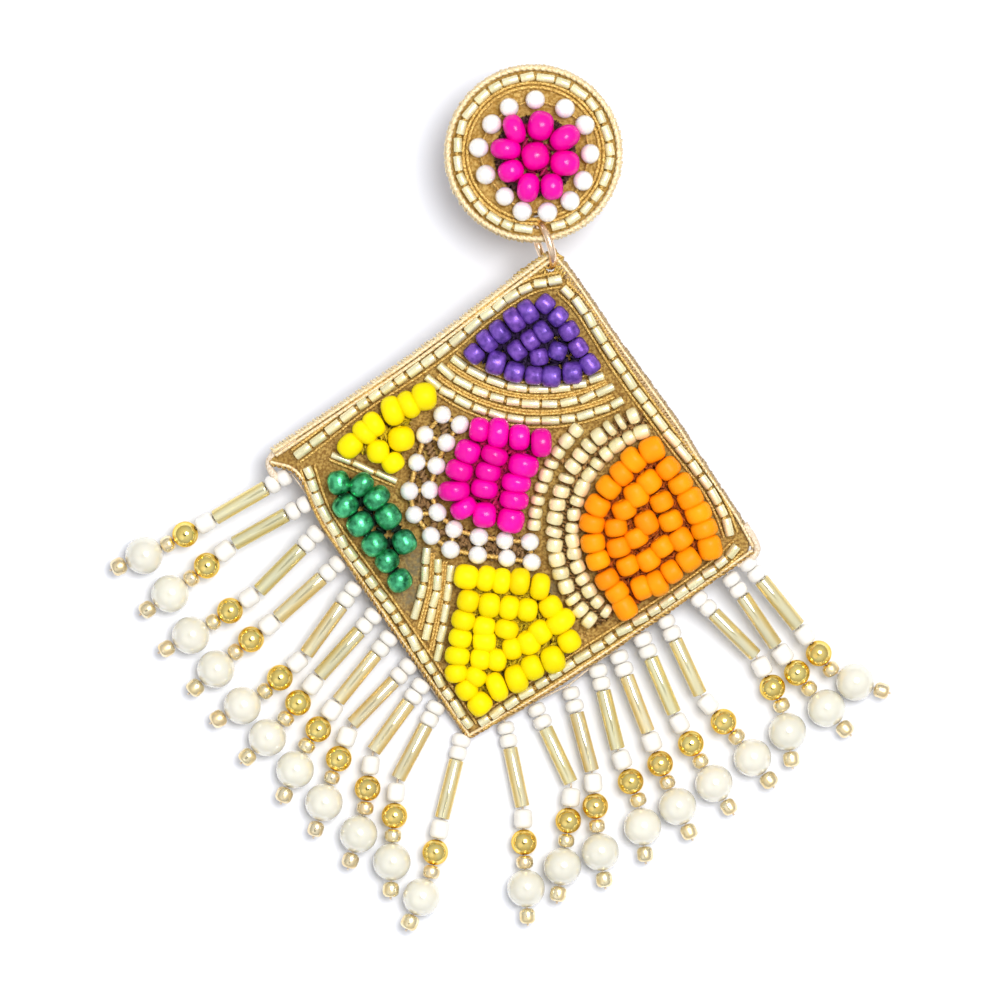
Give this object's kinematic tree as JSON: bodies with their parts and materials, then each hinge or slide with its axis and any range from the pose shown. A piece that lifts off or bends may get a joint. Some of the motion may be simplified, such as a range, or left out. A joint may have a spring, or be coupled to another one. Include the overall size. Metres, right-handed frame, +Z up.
{
  "type": "beaded earring",
  "caption": "Beaded statement earring lying face up: round beaded stud, jump ring, square beaded panel set on its corner, and a fringe of bead strands ending in pearls.",
  "frame": {"origin": "tip of the ear post, on the surface that the earring lies on", "axes": "+Z up from the surface, +Y in plan from the panel towards the stud, +X to the right as seen from the front"},
  "size_m": [0.0907, 0.1001, 0.0142],
  "materials": {
    "post_metal": "satin",
    "ring_metal": "worn rose gold plating",
    "felt": "matte",
    "metallic_thread": "glittering",
    "stringing_thread": "matte",
    "tube_glass": "silver-lined, glossy",
    "gold_seed_glass": "silver-lined, glossy",
    "pearl_seed": "pearly",
    "pink_glass": "opaque, glossy",
    "purple_glass": "opaque, satin",
    "orange_glass": "opaque, glossy",
    "yellow_glass": "opaque, glossy",
    "green_glass": "metallic, glossy",
    "ball_gold": "polished",
    "rose_seed": "polished",
    "drop_pearl": "pearly"
  },
  "bodies": {
    "root": {"stud_post": "post_metal", "stud_base": "felt", "stud_rim": "metallic_thread", "stud_tube_ring": "tube_glass", "stud_pearl_ring": "pearl_seed", "stud_pink_cluster": "pink_glass", "jump_ring": "ring_metal", "panel_base": "felt", "panel_rim": "metallic_thread", "panel_border_string": "tube_glass", "purple_field": "purple_glass", "purple_arc_1": "tube_glass", "purple_arc_2": "tube_glass", "purple_arc_3": "tube_glass", "small_yellow_field": "yellow_glass", "divider_string": "tube_glass", "green_field": "green_glass", "green_arc_1": "tube_glass", "green_arc_2": "tube_glass", "green_arc_3": "tube_glass", "inner_pearl_string": "pearl_seed", "outer_pearl_string": "pearl_seed", "pink_field": "pink_glass", "gold_arc_1": "gold_seed_glass", "gold_arc_2": "gold_seed_glass", "gold_arc_3": "gold_seed_glass", "orange_field": "orange_glass", "large_yellow_field": "yellow_glass", "strand_01": "drop_pearl", "strand_02": "drop_pearl", "strand_03": "drop_pearl", "strand_04": "drop_pearl", "strand_05": "drop_pearl", "strand_06": "drop_pearl", "strand_07": "drop_pearl", "strand_08": "drop_pearl", "strand_09": "drop_pearl", "strand_10": "drop_pearl", "strand_11": "drop_pearl", "strand_12": "drop_pearl", "strand_13": "drop_pearl", "strand_14": "drop_pearl", "strand_15": "drop_pearl", "strand_16": "drop_pearl", "strand_17": "drop_pearl", "strand_18": "drop_pearl", "strand_19": "drop_pearl", "strand_20": "drop_pearl", "strand_21": "drop_pearl", "fringe_threads": "stringing_thread"}
  },
  "joints": []
}
